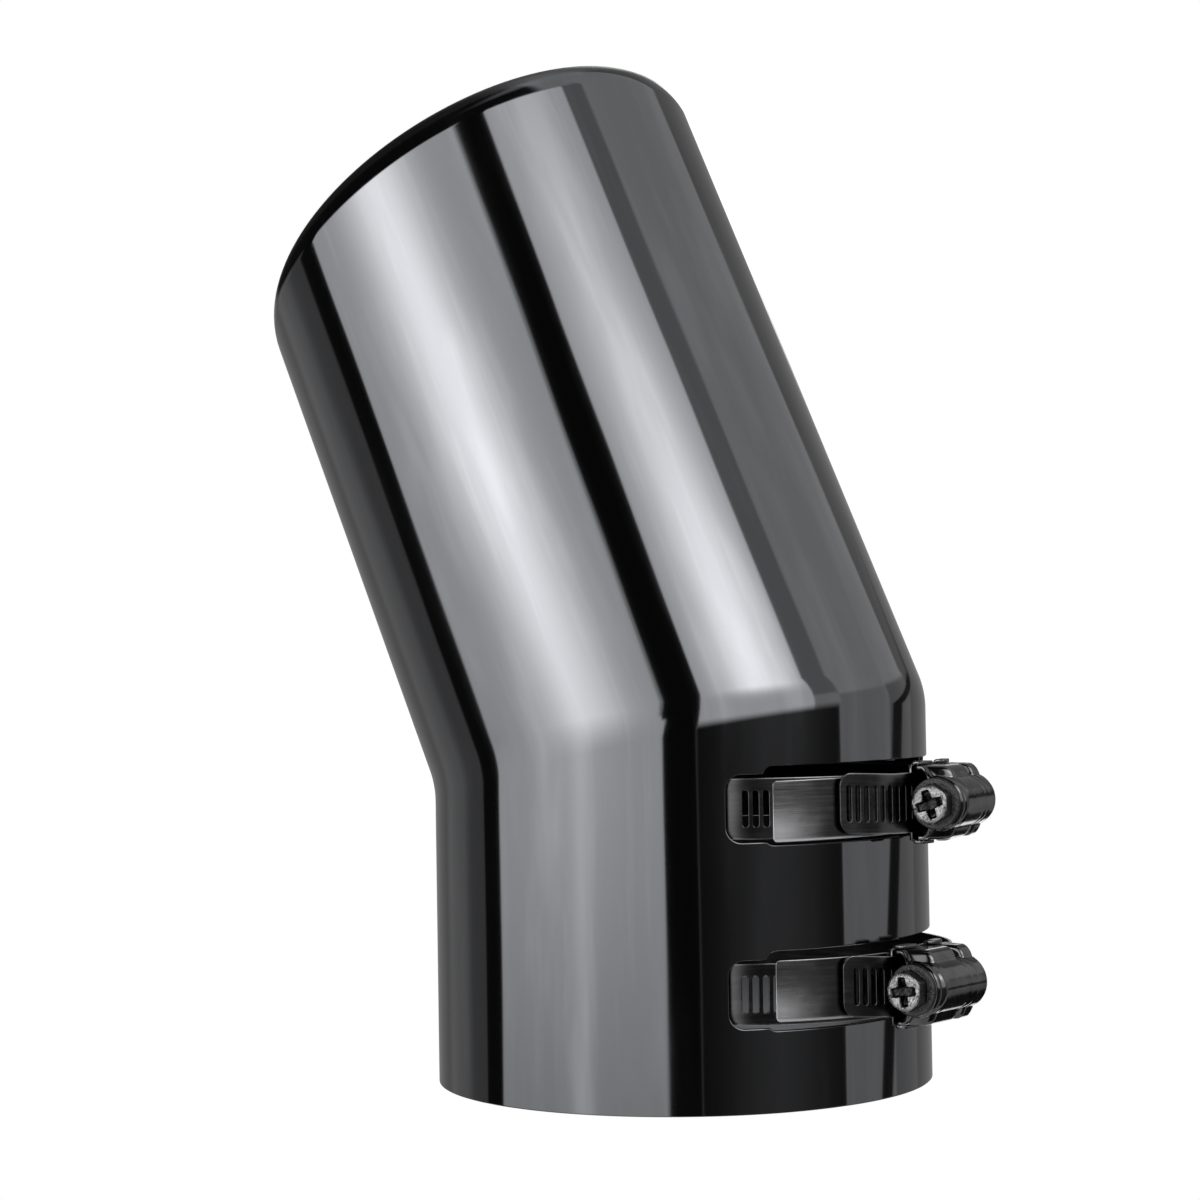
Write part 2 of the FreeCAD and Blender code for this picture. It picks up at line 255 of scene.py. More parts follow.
def window_edge(level_z, grow, sizes):
    """Closed outline of one window with its two guide slots, as (arc length, height) on the
    outer wall, grown outwards by a margin. Each corner is an arc about its own centre with
    the margin added to its radius; straight runs join them. Normals point into the metal."""
    outer = sizes.radius / MM
    reach, guide = outer * math.radians(38.1), outer * math.radians(46.51)
    half, corner, soft = 7.5, 2.0, 3.0
    guide_top, guide_foot = 2.9, -3.9
    # how far the guide's edges lie beyond the centres of the window's corners
    over, under = 0.4, 1.4
    corner_x, guide_x = reach - corner, guide - soft
    up = math.degrees(math.asin((over + grow) / (corner + grow)))
    down = math.degrees(math.asin(-(under + grow) / (corner + grow)))
    first = arc((corner_x, half - corner), corner + grow, 90, up, 6)
    last = arc((corner_x, corner - half), corner + grow, down, -90, 5)
    top = arc((guide_x, guide_top), soft + grow, 90, 0, 9)
    low = arc((guide_x, guide_foot), soft + grow, 0, -90, 9)
    parts = [line((0, half + grow), (corner_x, half + grow), (0, 1), 14), first,
             line(first[0][-1], top[0][0], (0, 1), 3), top,
             line(top[0][-1], low[0][0], (1, 0), 4), low,
             line(low[0][-1], last[0][0], (0, -1), 3), last,
             line(last[0][-1], (0, -half - grow), (0, -1), 14)]
    points = np.concatenate([p for p, _ in parts])
    normals = np.concatenate([n for _, n in parts])
    head, foot = np.array([[0, half + grow]]), np.array([[0, -half - grow]])
    head_n, foot_n = np.array([[0.0, 1.0]]), np.array([[0.0, -1.0]])
    flip = np.array([-1.0, 1.0])
    points = np.concatenate([head, points, foot, points[::-1] * flip])
    normals = np.concatenate([head_n, normals, foot_n, normals[::-1] * flip])
    return points + np.array([0, level_z]), normals


def lip_section(sizes):
    """Section of the lip as columns of radius, height from the mouth, and their steps along the
    section: half a turn inwards whose first quarter is an ellipse of the lip's reach, the return,
    half a turn round the sheet's edge, the return's other face and the half turn back."""
    wall, roll = sizes.wall / MM, sizes.roll / MM
    back, reach = sizes.back / MM, sizes.reach / MM
    middle = sizes.radius / MM - roll
    inner_roll, edge = roll - wall, wall / 2
    over = np.linspace(0, math.pi, 29)
    deep = np.where(over < math.pi / 2, reach, roll)
    under, inner_deep = over[::-1][1:], deep[::-1][1:]
    turn = np.linspace(0, math.pi, 7)[1:]
    down, up = np.linspace(0.25, 1, 4), np.array([1, 2, 3]) / 3
    stretches = [
        (middle + roll * np.cos(over), deep * np.sin(over) - deep,
         -roll * np.sin(over), deep * np.cos(over)),
        (np.full(4, middle - roll), -roll - down * (back - edge), np.zeros(4), -np.ones(4)),
        (middle - roll + edge - edge * np.cos(turn), -roll - back + edge - edge * np.sin(turn),
         np.sin(turn), -np.cos(turn)),
        (np.full(3, middle - inner_roll), -roll - back + edge + up * (back - edge),
         np.zeros(3), np.ones(3)),
        (middle + inner_roll * np.cos(under), (inner_deep - wall) * np.sin(under) - inner_deep,
         inner_roll * np.sin(under), (wall - inner_deep) * np.cos(under))]
    return [np.concatenate(column)[:, None] for column in zip(*stretches)]


def elbow_start(sizes):
    """Height of the tube's axis where the elbow starts: knee - blend tan(bend / 2)."""
    return sizes.bend_height / MM - sizes.blend / MM * math.tan(sizes.bend / 2)


def upper_patches(sizes, t):
    """Elbow, upper run and lip.

    Elbow: the ellipse where the mitre plane cuts the lower run, moved along an arc of the blend
    radius without being turned. Upper run and lip: the same tube leaned back by the bend, with
    the section (r, h) of the lip sheared so that it lies on the slanted mouth:
    z = length + h + r cos t tan(cut)."""
    outer, bore = sizes.radius / MM, sizes.radius / MM - sizes.wall / MM
    bend, blend, knee = sizes.bend, sizes.blend / MM, sizes.bend_height / MM
    tilt, slant = math.tan(bend / 2), math.tan(sizes.cut)
    c, s = np.cos(t)[None, :], np.sin(t)[None, :]
    lean = np.array([[math.cos(bend), 0, -math.sin(bend)], [0, 1, 0], [math.sin(bend), 0, math.cos(bend)]])

    def elbow(r, side):
        a = np.linspace(0, bend, 9)[:, None]
        x = r * c + blend * (np.cos(a) - 1)
        y = r * s + 0 * a
        z = elbow_start(sizes) + r * c * tilt + blend * np.sin(a)
        across = np.stack([-r * s + 0 * a, r * c + 0 * a, -r * s * tilt + 0 * a], -1)
        along = np.stack([-np.sin(a) + 0 * c, 0 * a * c, np.cos(a) + 0 * c], -1)
        flow = np.stack([r * c + 0 * a, y, z], -1)
        return patch(np.stack([x, y, z], -1), np.cross(across, along) * side, flow, wrap=True)

    def leaned(rho, height):
        """Points and flow of rows of radius rho at levels before the lean."""
        points = np.stack([rho * c, rho * s, height], -1) @ lean.T + np.array([0, 0, knee])
        return points, np.stack([rho * c, rho * s, knee + height], -1)

    def straight(r, rows, side):
        """The run between the elbow's end and the lip, in even steps on each line."""
        f = np.linspace(0, 1, rows)[:, None]
        start = blend * tilt - r * c * tilt
        end = sizes.mouth / MM - sizes.reach / MM + r * c * slant
        points, flow = leaned(r + 0 * f * c, start + (end - start) * f)
        normals = np.stack([c + 0 * f, s + 0 * f, 0 * f * c], -1) @ lean.T * side
        return patch(points, normals, flow, wrap=True)

    def lip():
        rho, high, drho, dhigh = lip_section(sizes)
        points, flow = leaned(rho, sizes.mouth / MM + high + rho * c * slant)
        around = np.stack([-rho * s, rho * c, -rho * s * slant], -1)
        along = np.stack([drho * c, drho * s, dhigh + drho * c * slant], -1)
        return patch(points, np.cross(around, along) @ lean.T, flow, wrap=True)

    return [elbow(outer, 1), straight(outer, 19, 1), lip(), straight(bore, 13, -1), elbow(bore, -1)]


def lower_patches(sizes, t):
    """Lower run: outer wall and bore, each a flat sheet (arc length, height) without its windows
    that is laid round the tube as (r cos t, r sin t, z), and the rounded inlet rim."""
    outer, bore = sizes.radius / MM, sizes.radius / MM - sizes.wall / MM
    base = outer * np.append(t, math.pi)
    round_t = np.stack([np.cos(t), np.sin(t), 0 * t], -1)
    lift = np.linspace(0, 1, 18)[1:-1]
    quarter = np.radians(np.linspace(0, 90, 5))[:, None, None]
    holes = [window_edge(z, RIM, sizes)[0] for z in WINDOW_Z.values()]
    up = np.array([0, 0, 1])
    patches = []
    for r, side in ((outer, 1), (bore, -1)):
        ceiling = elbow_start(sizes) + r * np.cos(base / outer) * math.tan(sizes.bend / 2)
        rim = np.stack([base, np.full(len(base), RIM)], -1)
        top = np.stack([base, ceiling], -1)[::-1]
        rise = RIM + (ceiling[-1] - RIM) * lift
        right = np.stack([np.full(len(lift), base[-1]), rise], -1)
        left = np.stack([np.full(len(lift), base[0]), rise[::-1]], -1)
        free = [np.stack([base[1:-1], RIM + (ceiling[1:-1] - RIM) * f], -1) for f in lift]
        free = clear_of(np.concatenate(free), holes, 0.7)
        flat, faces = fill(np.concatenate([rim, right, top, left]), holes, free)
        angle = flat[:, 0] / outer
        normals = np.stack([np.cos(angle), np.sin(angle), 0 * angle], -1)
        points = normals * r + np.stack([0 * angle, 0 * angle, flat[:, 1]], -1)
        patches.append((points, normals * side, points, faces))
        inset = RIM - RIM * np.cos(quarter)
        ring = round_t * (r - side * inset) + up * (RIM - RIM * np.sin(quarter))
        ring_n = round_t * side * np.cos(quarter) - up * np.sin(quarter)
        patches.append(patch(ring, ring_n, wrap=True))
    ring = np.stack([round_t * (outer - RIM), round_t * (bore + RIM)])
    return patches + [patch(ring, ring * 0 - up, wrap=True)]


def window_patches(level_z, sizes):
    """Rounded edge of one window: the outline grown by RIM (1 - sin a) at a radius RIM (1 - cos a)
    inside the outer wall, and the same from the bore's side."""
    outer, bore = sizes.radius / MM, sizes.radius / MM - sizes.wall / MM
    quarter = np.radians(np.linspace(0, 90, 5))
    rows = [(outer - RIM + RIM * math.cos(a), a, 1) for a in quarter]
    rows += [(bore + RIM - RIM * math.cos(a), a, -1) for a in quarter[::-1]]
    _, edge_n = window_edge(level_z, 0, sizes)
    points, normals = [], []
    for r, a, side in rows:
        flat, _ = window_edge(level_z, RIM - RIM * math.sin(a), sizes)
        angle = flat[:, 0] / outer
        out = np.stack([np.cos(angle), np.sin(angle), 0 * angle], -1)
        around = np.stack([-np.sin(angle), np.cos(angle), 0 * angle], -1)
        into = around * edge_n[:, :1] + np.array([0, 0, 1]) * edge_n[:, 1:]
        points.append(out * r + np.stack([0 * angle, 0 * angle, flat[:, 1]], -1))
        normals.append(out * side * math.cos(a) - into * math.sin(a))
    return patch(np.array(points), np.array(normals), wrap=True)


def tube_patches(sizes):
    """All surfaces of the tube in millimetres, t being the angle round its axis."""
    t = -math.pi + 2 * math.pi * np.arange(sizes.columns) / sizes.columns
    windows = [window_patches(z, sizes) for z in WINDOW_Z.values()]
    return upper_patches(sizes, t) + lower_patches(sizes, t) + windows


# Clamp bands

def ring_arc(radius, start, end, count):
    """Points of an arc about the ring's centre: radius (cos a, sin a)."""
    angle = np.radians(np.linspace(start, end, count))
    return np.stack([np.cos(angle), np.sin(angle)], -1) * radius


def band_line(level, sizes):
    """Middle line of the strip as samples of length, place and normal, and the lengths at which
    its stretches end. It goes over the lap, round the fold, back along the inner layer, up a
    ramp of two arcs whose centres lie equally far to either side of the ring's centre, and
    along the tail. Normals are left of the way."""
    thick, inner = sizes.band_thick / MM, sizes.band_inner / MM
    # clearances that stack the lap and the tail above the inner layer
    lap_gap, tail_rise, tail_gap = 0.25, 2.05, 0.3
    low = inner + thick / 2
    lap = low + thick + lap_gap
    tail = inner + tail_rise + thick / 2 + tail_gap
    fold = HOUSING_TURN[level] + FOLD_PAST_HOUSING
    half = (lap - low) / 2

    step = np.radians(np.linspace(0, 180, 40))[:, None]
    out = np.array([math.cos(math.radians(fold)), math.sin(math.radians(fold))])
    side = np.array([-out[1], out[0]])
    bend = out * (low + half) + half * (np.cos(step) * out + np.sin(step) * side)
    swing = math.cos(math.radians(CLIMB_START - CLIMB_END))
    shift = (tail - low) * (2 + math.sqrt(2 + 2 * swing)) / (2 * (1 - swing))
    low_centre = -shift * ring_arc(1.0, CLIMB_START, CLIMB_START, 1)
    tail_centre = shift * ring_arc(1.0, CLIMB_END, CLIMB_END, 1)
    climb = [ring_arc(low + shift, CLIMB_START, CLIMB_MIDDLE, 200) + low_centre,
             ring_arc(tail - shift, CLIMB_MIDDLE, CLIMB_END, 200)[1:] + tail_centre]
    runs = [ring_arc(lap, LAP_START, fold, 480), bend, ring_arc(low, fold, CLIMB_START, 2000),
            np.concatenate(climb), ring_arc(tail, CLIMB_END, TAIL_END, 400)]
    points = np.concatenate([runs[0]] + [r[1:] for r in runs[1:]])
    gaps = np.linalg.norm(np.diff(points, axis=0), axis=1)
    length = np.concatenate([[0], np.cumsum(gaps)])
    ends = np.cumsum([len(runs[0])] + [len(r) - 1 for r in runs[1:]]) - 1
    tangent = np.gradient(points, length, axis=0)
    tangent /= np.linalg.norm(tangent, axis=1, keepdims=True)
    return length, points, np.stack([-tangent[:, 1], tangent[:, 0]], -1), length[ends]


def strip_edge(length, half, corner_start, corner_end):
    """Outline of the flat strip with rounded corners at both ends, and its outward normals."""
    count = int(length / 1.2)
    a, b = corner_start, corner_end
    parts = [arc((a, -half + a), a, 180, 270, 5), line((a, -half), (length - b, -half), (0, -1), count),
             arc((length - b, -half + b), b, 270, 360, 7),
             line((length, -half + b), (length, half - b), (1, 0), 5),
             arc((length - b, half - b), b, 0, 90, 7), line((length - b, half), (a, half), (0, 1), count),
             arc((a, half - a), a, 90, 180, 5), line((0, half - a), (0, -half + a), (-1, 0), 6)]
    return np.concatenate([p for p, _ in parts]), np.concatenate([n for _, n in parts])


def slot_edge(middle, width, length):
    """Outline of one worm slot: two half circles joined by straight sides. The normals point
    from the strip's metal into the slot."""
    r = width / 2
    top, n_top = arc((middle, length / 2 - r), r, 0, 180, 7)
    low, n_low = arc((middle, -length / 2 + r), r, 180, 360, 7)
    mid_l, mid_r = np.array([[middle - r, 0.0]]), np.array([[middle + r, 0.0]])
    points = np.concatenate([top, mid_l, low, mid_r])
    normals = np.concatenate([n_top, [[-1.0, 0.0]], n_low, [[1.0, 0.0]]])
    return points, -normals


def worm_slots(level, sizes, path, ends):
    """Places along the strip of the slots' middles: on the tail and under the housing, both laid
    in pitches to either side of the housing so that the worm's ring sits in a slot."""
    turn = HOUSING_TURN[level]
    steps = np.arange(-40, 41) * (sizes.pitch / MM)
    tail_r = (path[-1] - ends[3]) / math.radians(CLIMB_END - TAIL_END)
    tail = ends[3] + math.radians(360 + CLIMB_END - turn) * tail_r + steps
    tail = tail[(tail > ends[3] + 1.2) & (tail < path[-1] - 1.5)]
    fold = turn + FOLD_PAST_HOUSING
    low_r = (ends[2] - ends[1]) / math.radians(fold - CLIMB_START)
    below = ends[1] + math.radians(FOLD_PAST_HOUSING) * low_r + steps
    below = below[(below > ends[1] + 4.5) & (below < ends[1] + math.radians(fold + 60) * low_r)]
    return np.concatenate([tail, below])


def band_patches(level, sizes):
    """Surfaces of one perforated strip: two filled sheets half a thickness off the middle
    line, and a rounded edge round the outline and every slot."""
    path, centre, normal, ends = band_line(level, sizes)
    half_t, soft = sizes.band_thick / MM / 2, 0.13
    width, tall = sizes.slot_width / MM, sizes.slot_length / MM
    z_mid = WINDOW_Z[level] - sizes.band_drop / MM
    middles = worm_slots(level, sizes, path, ends)
    outline, out_n = strip_edge(path[-1], sizes.band_width / MM / 2, 0.8, 2.5)
    slots = [slot_edge(m, width, tall) for m in middles]

    columns = np.concatenate([np.arange(0.6, ends[0] - 0.3, 0.9), np.linspace(ends[0], ends[1], 9),
                              np.arange(ends[1] + 0.4, path[-1] - 0.5, 1.1)])
    rows = np.array([-4.6, -3.0, -1.2, 1.2, 3.0, 4.6])
    free = np.stack(np.meshgrid(columns, rows, indexing="ij"), -1).reshape(-1, 2)
    holes = [p - n * soft for p, n in slots]
    taken = np.zeros(len(free), bool)
    for m in middles:
        taken |= (np.abs(free[:, 0] - m) < width / 2 + 0.25) & (np.abs(free[:, 1]) < tall / 2 + 0.3)
    flat, faces = fill(outline - out_n * soft, holes, free[~taken])

    lap_z, middle_z, end_z = {"lower": (0.6, 0.9, 1.2), "upper": (-0.6, 0.0, 0.7)}[level]
    two_thirds = ends[3] + 0.66 * (path[-1] - ends[3])
    knots = [0, ends[0] * 0.5, ends[0], ends[1], ends[1] + 22, two_thirds, path[-1]]
    hang = [lap_z, middle_z, middle_z * 0.5, middle_z * 0.5, 0, 0.1, end_z]

    def lift(flat, depth):
        """Flat (length, width) points onto the path, raised by a depth along its normal. The
        two free ends hang a little off the strip's level."""
        spot = np.stack([np.interp(flat[:, 0], path, centre[:, i]) for i in (0, 1)], -1)
        up = np.stack([np.interp(flat[:, 0], path, normal[:, i]) for i in (0, 1)], -1)
        up /= np.linalg.norm(up, axis=1, keepdims=True)
        xy = spot + up * np.reshape(depth, (-1, 1))
        p = np.column_stack([xy, z_mid + flat[:, 1] + np.interp(flat[:, 0], knots, hang)])
        p[:, 0] += sizes.ring_offset / MM
        way = np.column_stack([up[:, 1], -up[:, 0], 0 * up[:, 0]])
        return p, np.column_stack([up, 0 * up[:, 0]]), way

    patches = []
    for side in (1, -1):
        p, up, _ = lift(flat, side * half_t)
        flow = np.column_stack([flat, np.full(len(flat), side * half_t)])
        patches.append((p, up * side, flow, faces))
    for edge, edge_n in [(outline, out_n)] + slots:
        rows, row_n, row_f = [], [], []
        for side in (1, -1):
            turns = np.linspace(0, 90, 4) if side > 0 else np.linspace(90, 0, 4)
            for a in np.radians(turns):
                spot = edge - edge_n * (soft - soft * math.sin(a))
                depth = side * (half_t - soft + soft * math.cos(a))
                p, up, way = lift(spot, depth)
                out = way * edge_n[:, :1] + np.array([0, 0, 1]) * edge_n[:, 1:]
                rows.append(p)
                row_n.append(up * side * math.cos(a) + out * math.sin(a))
                row_f.append(np.column_stack([spot, np.full(len(spot), depth)]))
        patches.append(patch(np.array(rows), np.array(row_n), np.array(row_f), wrap=True))
    return patches


# Clamp housings

def slopes(points, probe, wrap=False):
    """Normals of a grid surface, the cross products of its steps down and across, all turned so
    that the one at the probe's row and column points away from the ring's centre."""
    down = np.gradient(points, axis=0)
    if wrap:
        across = (np.roll(points, -1, axis=1) - np.roll(points, 1, axis=1)) / 2
    else:
        across = np.gradient(points, axis=1)
    normal = np.cross(down, across)
    size = np.linalg.norm(normal, axis=-1, keepdims=True)
    normal = normal / np.where(size < 1e-9, 1, size)
    return -normal if normal[probe][1] < 0 else normal


def sheet_patches(middle, normal, thick):
    """A bent sheet of even thickness from its middle surface m and normals n: two faces
    m + n t/2 and m - n t/2, and past the border a squared edge m + t/2 (n cos' a + e sin' a),
    where e points out of the sheet and ' raises to the power 0.45 and keeps the sign."""
    half = thick / 2
    border = [np.s_[0, :-1], np.s_[:-1, -1], np.s_[-1, :0:-1], np.s_[:0:-1, 0]]
    rim = np.concatenate([middle[b] for b in border])
    up = np.concatenate([normal[b] for b in border])
    along = np.roll(rim, -1, axis=0) - np.roll(rim, 1, axis=0)
    out = np.cross(along, up)
    out /= np.linalg.norm(out, axis=1, keepdims=True)
    if ((rim - middle.mean((0, 1))) * out).sum() < 0:
        out = -out
    a = np.radians(np.linspace(0, 180, 13))[:, None, None]
    rise = np.sign(np.cos(a)) * np.abs(np.cos(a)) ** 0.45
    reach = np.abs(np.sin(a)) ** 0.45
    edge = rim + half * (up * rise + out * reach)
    return [patch(middle + normal * half, normal), patch(middle - normal * half, -normal),
            patch(edge, up * np.cos(a) + out * np.sin(a), wrap=True)]


def smooth(value, low, high):
    """Smooth step of an array from 0 at low to 1 at high."""
    t = np.clip((value - low) / (high - low), 0, 1)
    return t * t * (3 - 2 * t)


def to_clamp(patches, level, sizes):
    """Turns patches from the housing's own axes, x along the screw towards its head, y away
    from the ring's centre, z up, to their place on the tube."""
    turn = math.radians(HOUSING_TURN[level])
    c, s = math.cos(turn), math.sin(turn)
    basis = np.array([[s, -c, 0], [c, s, 0], [0, 0, 1]])
    place = np.array([sizes.ring_offset / MM, 0, WINDOW_Z[level] - sizes.band_drop / MM])
    return [(p @ basis + place, n @ basis, f, q) for p, n, f, q in patches]


def hood_patches():
    """Pressed cover of the worm. Each section starts at the foot of one skirt, climbs to a
    shoulder or to an ear, goes over the barrel and down the other side. The shoulder and ear
    sections are mixed along the screw, and the barrel's radius follows the neck, the collar
    and the two closed ends. Sections: skirt, quadratic curve, barrel, and their mirror image."""
    barrel_r, half_width, foot, far_end = 4.9, 6.8, 40.9, 9.1
    head = np.linspace(6.45, far_end, 16)
    neck = barrel_r - 0.55 * smooth(head, 6.2, 7.3)
    collar = neck + 0.65 * smooth(head, 7.6, 8.5) - 0.4 * smooth(head, 8.8, 9.15)
    dome = 3.9 + np.sqrt(1 - np.linspace(1, 0, 6) ** 2)
    stretches = [(np.full(5, -far_end), np.linspace(2.8, 3.9, 5)), (np.linspace(-9.05, -8.3, 6), dome),
                 (np.linspace(-8.0, 6.2, 56), np.full(56, barrel_r)), (head, collar),
                 (np.full(5, far_end), np.linspace(4.45, 3.8, 5))]
    along, radius = (np.concatenate(values) for values in zip(*stretches))
    count = len(along)
    ear = (smooth(along, -3.6, -2.4) * (1 - smooth(along, 5.0, 7.4))
           + smooth(along, -9.0, -8.3) * (1 - smooth(along, -5.6, -4.6)))[:, None, None]
    r = radius[:, None]
    t = np.linspace(0, 1, 9)
    u = t[1:][None, :, None]

    def section(climb, start, corner):
        """One kind of section for every place along the screw: the skirt's height, the barrel's
        start angle and the point that the corner's curve is drawn to."""
        a = np.radians(np.linspace(start, 180 - start, 41))[None, :]
        barrel = np.stack([WORM_AXIS + r * np.sin(a), r * np.cos(a)], -1)
        skirt = np.repeat(np.stack([foot + climb * t, 0 * t + half_width], -1)[None], count, 0)
        bend = (1 - u) ** 2 * skirt[:1, -1:] + 2 * u * (1 - u) * np.array(corner) + u * u * barrel[:, :1]
        half = np.concatenate([skirt, bend], 1)
        return np.concatenate([half, barrel[:, 1:-1], half[:, ::-1] * np.array([1, -1])], 1)

    flat = section(0.7, -14.0, (42.3, 6.7)) * (1 - ear) + section(3.8, 22.0, (46.3, 6.9)) * ear
    columns = flat.shape[1]
    place = np.minimum(np.arange(columns), np.arange(columns)[::-1])
    pull = 1 - smooth(place.astype(float), 10, 17)
    x = along[:, None] - 1.2 * smooth(along, 6.5, far_end)[:, None] * pull
    x = x + 0.5 * smooth(-along, 8.0, far_end)[:, None] * pull
    # rows of the closed ends are set apart at the skirts, where they would fall together
    spread = np.concatenate([np.linspace(-0.45, -0.09, 5), np.zeros(count - 10), np.linspace(0.09, 0.45, 5)])
    middle = np.stack([x + spread[:, None] * pull, flat[..., 0], flat[..., 1]], -1)
    return sheet_patches(middle, slopes(middle, (count // 2, columns // 2)), SHEET)


def saddle_patches():
    """Curved plate under the strip, and four tabs that bend up beside the hood's skirts: plate
    (r sin a, r cos a, z) with r the radius of its middle, tab a quarter circle and a straight."""
    r, tab_x = 40.0, 5.0
    a = np.radians(np.linspace(-11.4, 11.4, 25))[:, None]
    z = np.linspace(-7.1, 7.1, 9)[None, :]
    plate = np.stack([r * np.sin(a) + 0 * z, r * np.cos(a) + 0 * z, z + 0 * a], -1)
    rise = np.stack([np.sin(a) + 0 * z, np.cos(a) + 0 * z, 0 * z + 0 * a], -1)
    patches = sheet_patches(plate, rise, SHEET)
    bend = np.radians(np.linspace(0, 90, 7))
    y = np.concatenate([[0, 0], 0.5 - 0.5 * np.cos(bend), np.linspace(0.9, 1.7, 6)])[None, :]
    z = np.concatenate([[6.2, 6.7], 7.15 + 0.5 * np.sin(bend), np.full(6, 7.65)])[None, :]
    taper = 1 - 0.12 * smooth(y, 0.9, 1.7)
    for side in (-1, 1):
        for end in (-1, 1):
            x = end * tab_x + np.linspace(-1.85, 1.85, 9)[:, None]
            base = np.sqrt(r * r - x * x)
            tab = np.stack([end * tab_x + (x - end * tab_x) * taper, base + y, side * z + 0 * x], -1)
            patches += sheet_patches(tab, slopes(tab, (4, 0)), SHEET)
    return patches


def screw_patches(turn):
    """Worm screw as one surface round its axis: rows of (x, radius) by angle. The worm's radius
    follows root + height w, w a flat-topped wave of x / pitch - angle / turn, with one taller
    ring in the strip's middle slot. The head's radius is the hexagon's, cut by a turned chamfer,
    and its face is pressed in by a cross."""
    columns = 144
    angle = (2 * np.pi * np.arange(columns) / columns)[None, :]

    def turned(*profile):
        """Rows of a round stretch from its points (x, radius)."""
        x, radius = np.array(profile).T[..., None]
        return x + 0 * angle, radius + 0 * angle

    root, crest, worm_pitch, worm_end = 3.6, 0.4, 1.99, 8.4
    x = np.linspace(-worm_end, worm_end, 100)[:, None]
    phase = (x / worm_pitch - angle / (2 * np.pi)) % 1.0
    wave = smooth(np.abs(phase - 0.5), 0.16, 0.34)
    fade = smooth(x, -worm_end, -7.6) * (1 - smooth(x, 7.6, worm_end))
    tall_ring = root + 0.9 * (1 - smooth(np.abs(x), 0.28, 0.42))
    worm = np.maximum(root + crest * (1 - wave) * fade, tall_ring)

    face, corner, flats = 13.6, 3.98, 3.55
    sector = (angle + np.pi / 6) % (np.pi / 3) - np.pi / 6
    hexagon = np.minimum(flats / np.cos(sector), corner) - 0.03
    level = np.concatenate([[10.55, 10.6], np.linspace(10.8, 12.9, 8), np.linspace(13.0, face, 6)])[:, None]
    side = np.minimum(hexagon, corner - 0.9 * np.clip(level - 12.95, 0, None))

    t = np.linspace(1, 0, 66)[1:, None]
    face_r = side[-1:] * t ** 0.9
    y, z = face_r * np.cos(angle), face_r * np.sin(angle)
    c, s = math.cos(turn), math.sin(turn)
    u, v = np.abs(c * y + s * z), np.abs(-s * y + c * z)
    far, near = np.maximum(u, v), np.minimum(u, v)
    arm = 1 - smooth(near, 0.55 + 0.12 * (2.7 - far), 0.82 + 0.12 * (2.7 - far))
    arm = arm * (1 - smooth(far, 2.35, 2.9))
    cross = arm * (1.1 + 1.1 * (1 - smooth(far, 0.4, 2.4)))
    dents = 0.05 * np.sin(3.1 * y + 1.3) * np.sin(2.7 * z + 0.4) + 0.03 * np.sin(7.9 * y - 5.1 * z)
    bulge = 0.12 * smooth(1 - t, 0, 0.12)
    hollow = 0.10 * smooth(1 - t, 0.25, 0.9)
    face_x = face + bulge - hollow + dents * smooth(1 - t, 0.0, 0.2) - cross

    rows = [turned((-9.3, 0.0), (-9.3, 1.8), (-9.1, 2.0), (-worm_end, 2.0)), (x + 0 * angle, worm),
            turned((worm_end, 3.0), (9.5, 3.0), (9.55, 3.0), (9.55, 4.7), (9.62, 4.93), (9.75, 5.0),
                   (10.3, 5.0), (10.45, 4.93), (10.55, 4.7), (10.55, 4.05)),
            (level + 0 * angle, side), (face_x, face_r)]
    xs, rs = (np.concatenate(values) for values in zip(*rows))
    points = np.stack([xs, WORM_AXIS + rs * np.cos(angle), rs * np.sin(angle)], -1)
    normal = slopes(points, (50, 0), wrap=True)
    normal[0], normal[-1] = (-1, 0, 0), (1, 0, 0)
    return [patch(points, normal, wrap=True)]


# Shader maths

class Wire:
    """A node socket in an expression: + - * / ** and their reflected forms add Math nodes."""

    def __init__(self, net, socket):
        self.net, self.socket = net, socket

    def _math(self, operation, *values):
        return self.net.add("ShaderNodeMath", {"operation": operation}, values)

    def __add__(self, other):
        return self._math("ADD", self, other)

    def __sub__(self, other):
        return self._math("SUBTRACT", self, other)

    def __mul__(self, other):
        return self._math("MULTIPLY", self, other)

    def __truediv__(self, other):
        return self._math("DIVIDE", self, other)

    def __pow__(self, other):
        return self._math("POWER", self, other)

    def __rsub__(self, other):
        return self._math("SUBTRACT", other, self)

    def __rpow__(self, other):
        return self._math("POWER", other, self)

    def __rtruediv__(self, other):
        return self._math("DIVIDE", other, self)

    __radd__ = __add__
    __rmul__ = __mul__

    def clip(self):
        """The value held between 0 and 1."""
        return self.net.add("ShaderNodeMath", {"operation": "ADD", "use_clamp": True}, (self, 0.0))

    def step(self, low, high):
        """Smooth step from 0 at low to 1 at high."""
        return self.net.add("ShaderNodeMapRange", {"interpolation_type": "SMOOTHSTEP"},
                            {"Value": self, "From Min": low, "From Max": high})

    def band(self, low, high, soft):
        """1 between low and high, fading to 0 over a soft width outside."""
        return self.step(low - soft, low) * (1 - self.step(high, high + soft))


